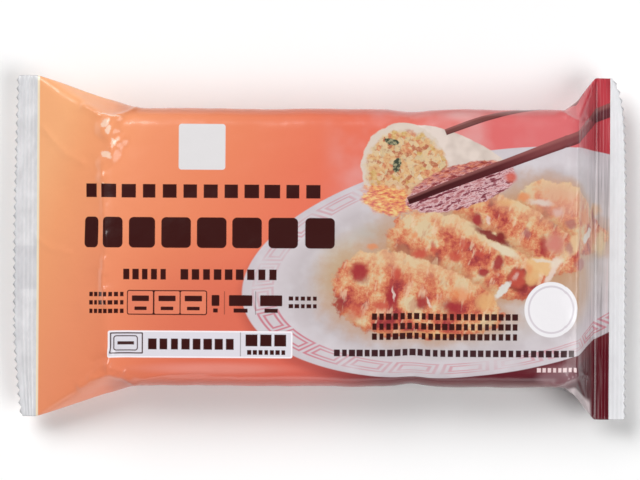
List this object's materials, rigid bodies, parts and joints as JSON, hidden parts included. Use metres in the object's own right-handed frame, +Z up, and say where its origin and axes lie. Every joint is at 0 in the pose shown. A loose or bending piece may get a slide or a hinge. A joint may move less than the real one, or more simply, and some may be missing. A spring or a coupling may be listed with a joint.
{
  "type": "frozen dumpling flow-wrap pack",
  "caption": "Shut flow-wrap pack of frozen fried dumplings: glossy printed film tube round a hidden tray, with ribbed zigzag-cut crimped ends.",
  "frame": {"origin": "middle of the pack's length and width, on the surface it lies on", "axes": "+X along the pack towards its short neck, +Y across it, +Z up out of the printed face"},
  "size_m": [0.208, 0.115, 0.0272],
  "materials": {
    "printed_film": "glossy printed plastic film, orange to deep red, with soft creases",
    "clear_film": "unprinted pale grey film of the crimped ends, ribbed"
  },
  "bodies": {
    "root": {"film_pack": "printed_film"}
  },
  "joints": []
}
